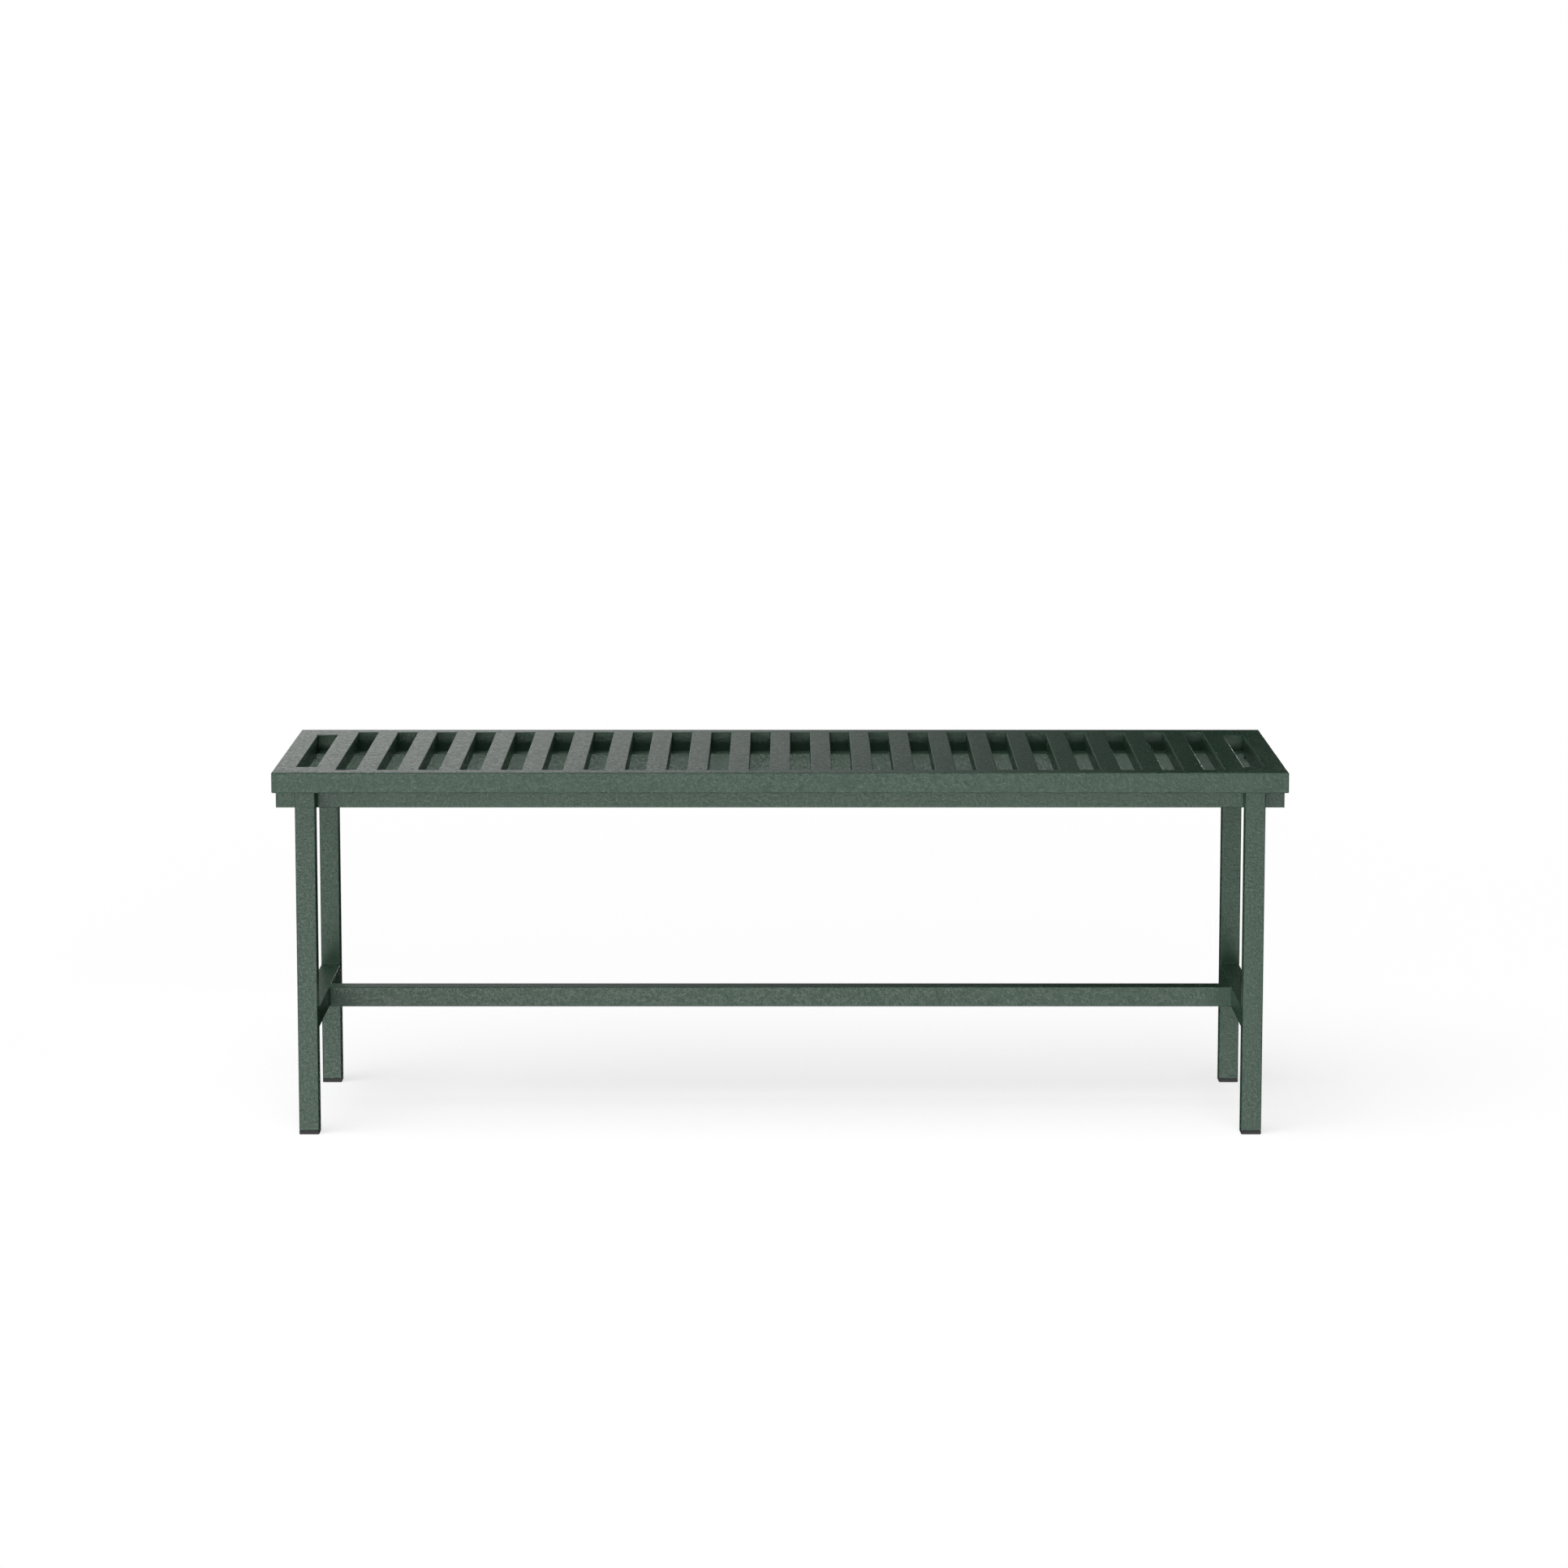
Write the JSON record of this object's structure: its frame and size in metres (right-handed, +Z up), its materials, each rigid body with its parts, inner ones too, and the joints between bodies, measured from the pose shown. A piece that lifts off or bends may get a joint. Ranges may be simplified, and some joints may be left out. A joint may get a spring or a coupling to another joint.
{
  "type": "backless bench",
  "caption": "Long backless outdoor bench of powder-coated square tube with an open slatted seat, four straight legs and a low H-shaped stretcher.",
  "frame": {"origin": "on the floor, under the middle of the seat", "axes": "+X along the bench, +Y from front to rear, +Z up"},
  "size_m": [1.225, 0.387, 0.45],
  "materials": {
    "green_powder_coat": "satin",
    "grey_glide_plastic": "matte"
  },
  "bodies": {
    "root": {"bearer_plate_front_left": "green_powder_coat", "bearer_plate_front_right": "green_powder_coat", "bearer_plate_rear_left": "green_powder_coat", "bearer_plate_rear_right": "green_powder_coat", "front_bearer": "green_powder_coat", "front_rail": "green_powder_coat", "glide_front_left": "grey_glide_plastic", "glide_front_right": "grey_glide_plastic", "glide_rear_left": "grey_glide_plastic", "glide_rear_right": "grey_glide_plastic", "left_end_rail": "green_powder_coat", "left_side_stretcher": "green_powder_coat", "leg_cap_front_left": "green_powder_coat", "leg_cap_front_right": "green_powder_coat", "leg_cap_rear_left": "green_powder_coat", "leg_cap_rear_right": "green_powder_coat", "leg_front_left": "green_powder_coat", "leg_front_right": "green_powder_coat", "leg_rear_left": "green_powder_coat", "leg_rear_right": "green_powder_coat", "long_stretcher": "green_powder_coat", "rear_bearer": "green_powder_coat", "rear_rail": "green_powder_coat", "right_end_rail": "green_powder_coat", "right_side_stretcher": "green_powder_coat", "slat_01": "green_powder_coat", "slat_02": "green_powder_coat", "slat_03": "green_powder_coat", "slat_04": "green_powder_coat", "slat_05": "green_powder_coat", "slat_06": "green_powder_coat", "slat_07": "green_powder_coat", "slat_08": "green_powder_coat", "slat_09": "green_powder_coat", "slat_10": "green_powder_coat", "slat_11": "green_powder_coat", "slat_12": "green_powder_coat", "slat_13": "green_powder_coat", "slat_14": "green_powder_coat", "slat_15": "green_powder_coat", "slat_16": "green_powder_coat", "slat_17": "green_powder_coat", "slat_18": "green_powder_coat", "slat_19": "green_powder_coat", "slat_20": "green_powder_coat", "slat_21": "green_powder_coat", "slat_22": "green_powder_coat", "slat_23": "green_powder_coat"}
  },
  "joints": []
}
